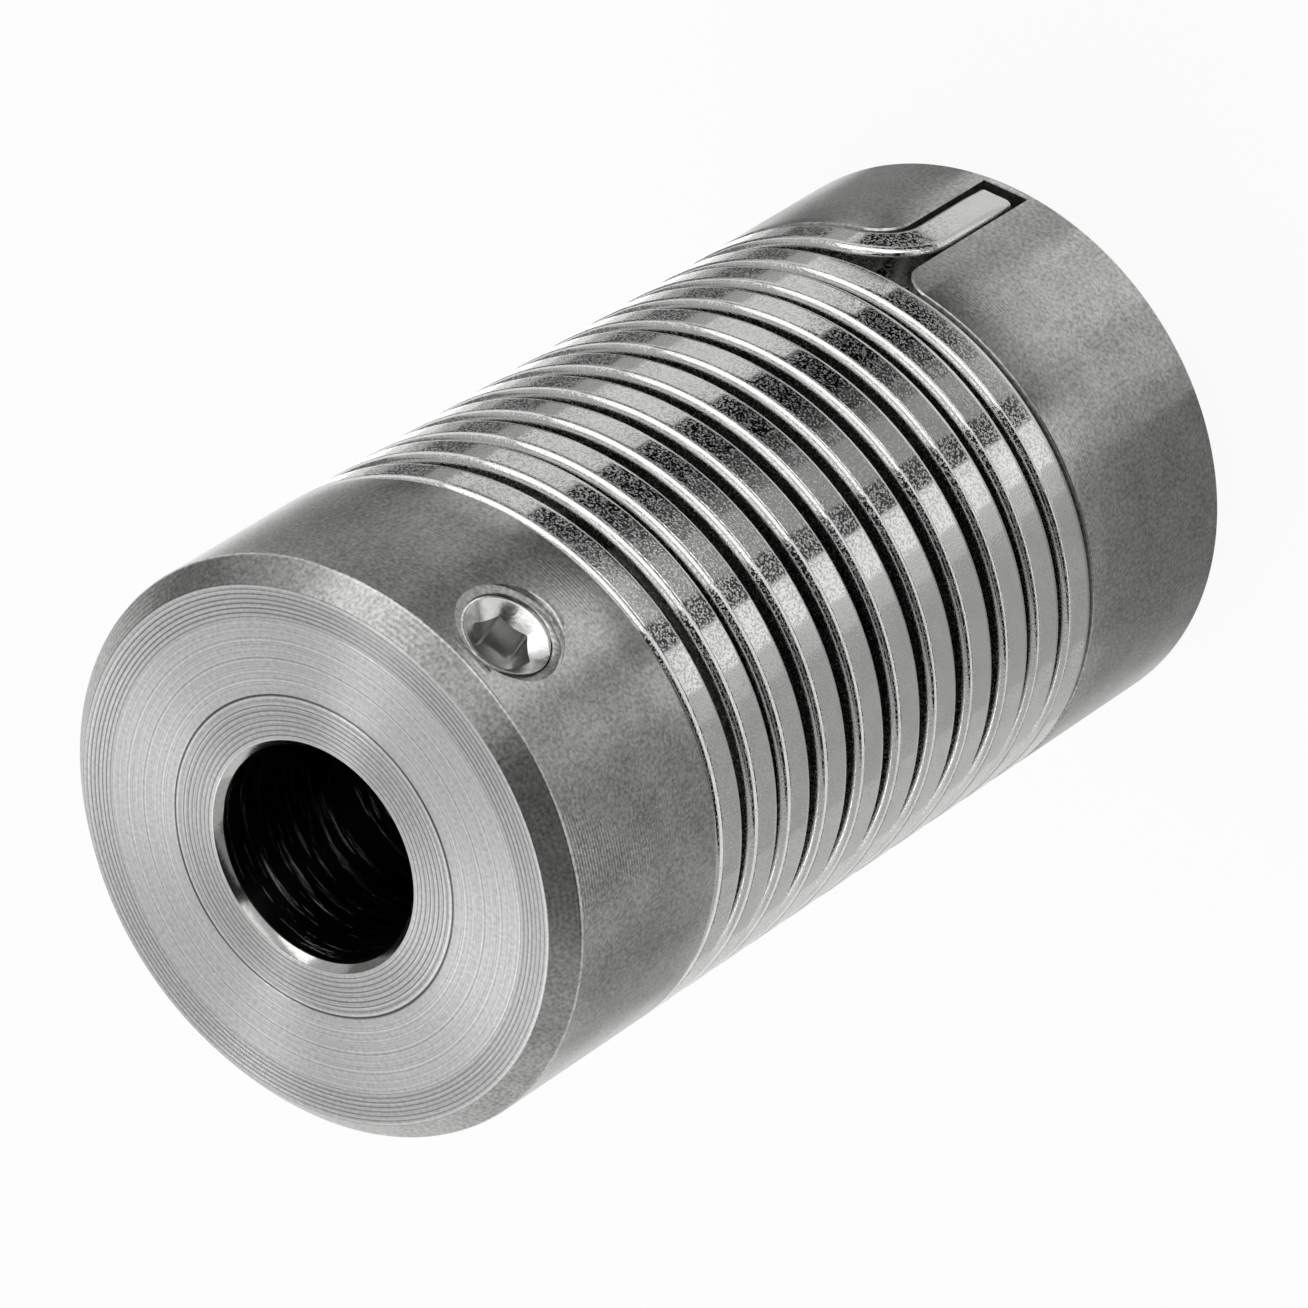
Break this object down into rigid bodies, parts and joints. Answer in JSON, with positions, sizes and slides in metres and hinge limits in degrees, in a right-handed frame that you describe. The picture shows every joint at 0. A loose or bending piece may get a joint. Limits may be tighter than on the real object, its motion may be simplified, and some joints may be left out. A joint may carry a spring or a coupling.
{
  "type": "spring coupling",
  "caption": "Flexible shaft coupling: plain-bored steel hubs joined end to end by nested, counter-wound springs of square wire, each hub clamped to its shaft by a set screw.",
  "frame": {"origin": "centre of the lower hub's end face, on which the coupling stands", "axes": "+Z along the shaft axis towards the upper hub; -Y towards the upper hub's set screw"},
  "size_m": [0.016, 0.016, 0.03],
  "materials": {
    "hub_steel": "turned end faces and a fine satin-blasted outside",
    "spring_steel": "bright drawn square spring wire",
    "screw_steel": "bright plated set screw"
  },
  "bodies": {
    "root": {"lower_hub": "hub_steel", "upper_hub": "hub_steel", "outer_spring": "spring_steel", "middle_spring": "spring_steel", "inner_spring": "spring_steel", "lower_set_screw": "screw_steel", "upper_set_screw": "screw_steel"}
  },
  "joints": []
}
